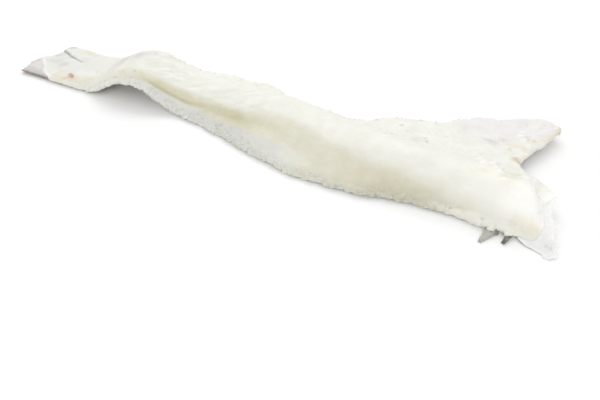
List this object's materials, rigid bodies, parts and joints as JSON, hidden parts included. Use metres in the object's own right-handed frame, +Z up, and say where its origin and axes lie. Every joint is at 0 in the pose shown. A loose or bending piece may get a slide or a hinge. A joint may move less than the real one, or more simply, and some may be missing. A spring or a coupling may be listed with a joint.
{
  "type": "salted dried cod",
  "caption": "Split salted dried cod lying flesh side up, head off and tail fin on, arched at the tail root, with coarse salt caught along its edges.",
  "frame": {"origin": "under the middle of the fish, on the surface that its skin side rests on", "axes": "+X from the tail fin to the head end, +Y from the near flap to the far shoulder flap, +Z up out of the flesh side"},
  "size_m": [0.5102, 0.1698, 0.0359],
  "materials": {
    "flesh": "matte, dry and slightly waxy"
  },
  "bodies": {
    "root": {"cod": "flesh"}
  },
  "joints": []
}
